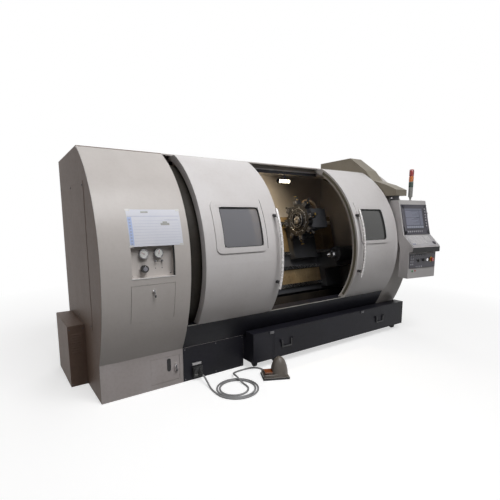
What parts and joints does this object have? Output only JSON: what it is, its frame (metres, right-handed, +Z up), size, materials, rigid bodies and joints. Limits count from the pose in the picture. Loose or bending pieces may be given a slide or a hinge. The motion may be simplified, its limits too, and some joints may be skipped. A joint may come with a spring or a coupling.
{
  "type": "cnc lathe",
  "caption": "Enclosed slant-bed CNC lathe with curved sliding doors, turret, tailstock, chip drawer, swivelling control pendant and foot pedal.",
  "frame": {"origin": "on the floor, in the middle of the four anchor bolts", "axes": "+X along the spindle from the headstock to the tailstock, +Y to the back, +Z up"},
  "size_m": [3.9406, 1.739, 2.188],
  "materials": {
    "cover_paint": "satin light warm-grey enamel",
    "door_paint": "satin warm-grey enamel, a little darker than the cabinets",
    "plinth_paint": "satin grey enamel, scuffed low down",
    "dark_paint": "dark blue-grey textured enamel",
    "casting_paint": "painted casting",
    "guard_steel": "oily grey inner guard sheet",
    "ground_steel": "ground and hardened steel",
    "chuck_steel": "ground steel with an oil film",
    "bright_chrome": "polished chrome",
    "tool_steel": "blackened tool steel",
    "pulley_iron": "machined iron",
    "belt_rubber": "black belt",
    "window_frame": "light grey enamelled frame with a black inner gasket",
    "window_glass": "smoked safety glass",
    "gauge_face": "white dials behind clear covers",
    "black_plastic": "moulded black plastic",
    "pendant_paint": "fine-textured light enamel",
    "screen_panel": "dark bezel and screen",
    "key_plastic": "membrane keys and keyboard",
    "stop_red": "red mushroom head",
    "lamp_glass": "white tube lamp",
    "tower_lenses": "red, orange and green lenses on a grey stem",
    "pedal_paint": "grey hammered enamel",
    "treadle_rubber": "orange-brown ribbed rubber",
    "cable_grey": "grey cable sheath",
    "caster_tyre": "black caster tyre"
  },
  "bodies": {
    "root": {"base_frame": "casting_paint", "bed": "casting_paint", "bed_ways": "ground_steel", "headstock_housing": "casting_paint", "cabinet_front_skin": "cover_paint", "cabinet_shell": "cover_paint", "plinth_panels": "plinth_paint", "pressure_gauges": "gauge_face", "coolant_box": "cover_paint", "fixed_guards": "guard_steel", "right_end_cabinet": "cover_paint", "pendant_arm": "cover_paint", "roof_panel": "cover_paint", "door_rail": "dark_paint", "apron_panel": "dark_paint", "cable_outlet": "black_plastic", "rear_cabinet": "cover_paint", "work_lamp": "lamp_glass", "chip_chute": "guard_steel", "spindle_motor": "casting_paint", "drive_belt": "belt_rubber", "coolant_tank": "dark_paint", "pedal_base": "pedal_paint", "pedal_cable_lead": "cable_grey", "pedal_cable_coil": "cable_grey", "pedal_cable_tail": "cable_grey"},
    "left_door": {"left_door_shell": "door_paint", "left_door_window_frame": "window_frame", "left_door_glass": "window_glass", "left_door_handle": "bright_chrome"},
    "right_door": {"right_door_shell": "door_paint", "right_door_window_frame": "window_frame", "right_door_glass": "window_glass", "right_door_handle": "bright_chrome"},
    "spindle": {"spindle_shaft": "chuck_steel", "chuck_body": "chuck_steel"},
    "motor_pulley": {"motor_pulley": "pulley_iron"},
    "jaw_1": {"chuck_jaw_1": "tool_steel"},
    "jaw_2": {"chuck_jaw_2": "tool_steel"},
    "jaw_3": {"chuck_jaw_3": "tool_steel"},
    "carriage": {"carriage_saddle": "casting_paint"},
    "cross_slide": {"cross_slide": "casting_paint"},
    "turret": {"turret_disc": "tool_steel", "turret_tools": "tool_steel"},
    "tailstock": {"tailstock_body": "casting_paint"},
    "quill": {"tailstock_quill": "bright_chrome"},
    "live_centre": {"live_centre": "ground_steel"},
    "chip_drawer": {"chip_drawer": "dark_paint"},
    "drawer_pulls": {"drawer_pulls": "bright_chrome"},
    "drawer_wheels": {"drawer_wheels": "caster_tyre"},
    "access_door": {"access_door": "cover_paint"},
    "plinth_door": {"plinth_door": "plinth_paint"},
    "regulator_knob": {"regulator_knob": "black_plastic"},
    "pendant": {"pendant_housing": "pendant_paint", "pendant_screen": "screen_panel", "pendant_keys": "key_plastic", "signal_tower": "tower_lenses"},
    "emergency_stop": {"emergency_stop": "stop_red"},
    "override_dial": {"override_dial": "black_plastic"},
    "treadle": {"pedal_treadle": "treadle_rubber"}
  },
  "joints": [
    {"name": "left_door_slide", "type": "slide", "parent": "root", "child": "left_door", "axis": [1, 0, 0], "range_m": [0, 0.515]},
    {"name": "right_door_slide", "type": "slide", "parent": "root", "child": "right_door", "axis": [-1, 0, 0], "range_m": [0, 0.515]},
    {"name": "spindle_spin", "type": "hinge", "parent": "root", "child": "spindle", "pos_m": [-1.435, -0.605, 0.98], "axis": [1, 0, 0], "continuous": true},
    {"name": "motor_pulley_spin", "type": "hinge", "parent": "root", "child": "motor_pulley", "pos_m": [-1.39, -0.485, 0.505], "axis": [1, 0, 0], "continuous": true},
    {"name": "jaw_1_slide", "type": "slide", "parent": "spindle", "child": "jaw_1", "axis": [0, 0, -1], "range_m": [0, 0.009]},
    {"name": "jaw_2_slide", "type": "slide", "parent": "spindle", "child": "jaw_2", "axis": [0, 0.866, 0.5], "range_m": [0, 0.009]},
    {"name": "jaw_3_slide", "type": "slide", "parent": "spindle", "child": "jaw_3", "axis": [0, -0.866, 0.5], "range_m": [0, 0.009]},
    {"name": "carriage_slide", "type": "slide", "parent": "root", "child": "carriage", "axis": [-1, 0, 0], "range_m": [0, 0.78]},
    {"name": "cross_slide_travel", "type": "slide", "parent": "carriage", "child": "cross_slide", "axis": [0, -0.2588, -0.9659], "range_m": [0, 0.14]},
    {"name": "turret_index", "type": "hinge", "parent": "cross_slide", "child": "turret", "pos_m": [0.6, -0.49241, 1.40018], "axis": [1, 0, 0], "continuous": true},
    {"name": "tailstock_slide", "type": "slide", "parent": "root", "child": "tailstock", "axis": [-1, 0, 0], "range_m": [0, 0.6]},
    {"name": "quill_slide", "type": "slide", "parent": "tailstock", "child": "quill", "axis": [-1, 0, 0], "range_m": [0, 0.12]},
    {"name": "live_centre_spin", "type": "hinge", "parent": "quill", "child": "live_centre", "pos_m": [1.06, -0.605, 0.98], "axis": [1, 0, 0], "continuous": true},
    {"name": "chip_drawer_slide", "type": "slide", "parent": "root", "child": "chip_drawer", "axis": [0, -1, 0], "range_m": [0, 0.65]},
    {"name": "drawer_pull_swing", "type": "hinge", "parent": "chip_drawer", "child": "drawer_pulls", "pos_m": [-0.112, -1.083, 0.235], "axis": [-1, 0, 0], "range_deg": [0, 110]},
    {"name": "drawer_wheels_spin", "type": "hinge", "parent": "chip_drawer", "child": "drawer_wheels", "pos_m": [-0.112, -0.979, 0.034], "axis": [1, 0, 0], "continuous": true},
    {"name": "access_door_hinge", "type": "hinge", "parent": "root", "child": "access_door", "pos_m": [-1.636, -1.05764, 0.6513], "axis": [1, 0, 0], "range_deg": [0, 90]},
    {"name": "plinth_door_hinge", "type": "hinge", "parent": "root", "child": "plinth_door", "pos_m": [-1.4427, -0.907, 0.045], "axis": [0, 0, -1], "range_deg": [0, 110]},
    {"name": "regulator_knob_turn", "type": "hinge", "parent": "root", "child": "regulator_knob", "pos_m": [-1.522, -1.061, 1.067], "axis": [0, -1, 0], "continuous": true},
    {"name": "pendant_swivel", "type": "hinge", "parent": "root", "child": "pendant", "pos_m": [1.552, -1.074, 1.633], "axis": [0, 0, 1], "range_deg": [-3, 12]},
    {"name": "emergency_stop_press", "type": "slide", "parent": "pendant", "child": "emergency_stop", "axis": [0.1323, 0.9912, 0], "range_m": [0, 0.006], "stiffness_N_per_m": 800, "springref_m": -0.002},
    {"name": "override_dial_turn", "type": "hinge", "parent": "pendant", "child": "override_dial", "pos_m": [1.70832, -1.39953, 0.94], "axis": [-0.1323, -0.9912, 0], "range_deg": [-135, 135]},
    {"name": "treadle_press", "type": "hinge", "parent": "root", "child": "treadle", "pos_m": [-0.37598, -1.30376, 0.052], "axis": [-0.4352, -0.9003, 0], "range_deg": [0, 8], "stiffness_Nm_per_rad": 40, "springref_deg": -2.86}
  ],
  "couplings": [
    {"joint": "motor_pulley_spin", "follows": "spindle_spin", "ratio": 1.5217},
    {"joint": "jaw_2_slide", "follows": "jaw_1_slide", "ratio": 1},
    {"joint": "jaw_3_slide", "follows": "jaw_1_slide", "ratio": 1}
  ]
}
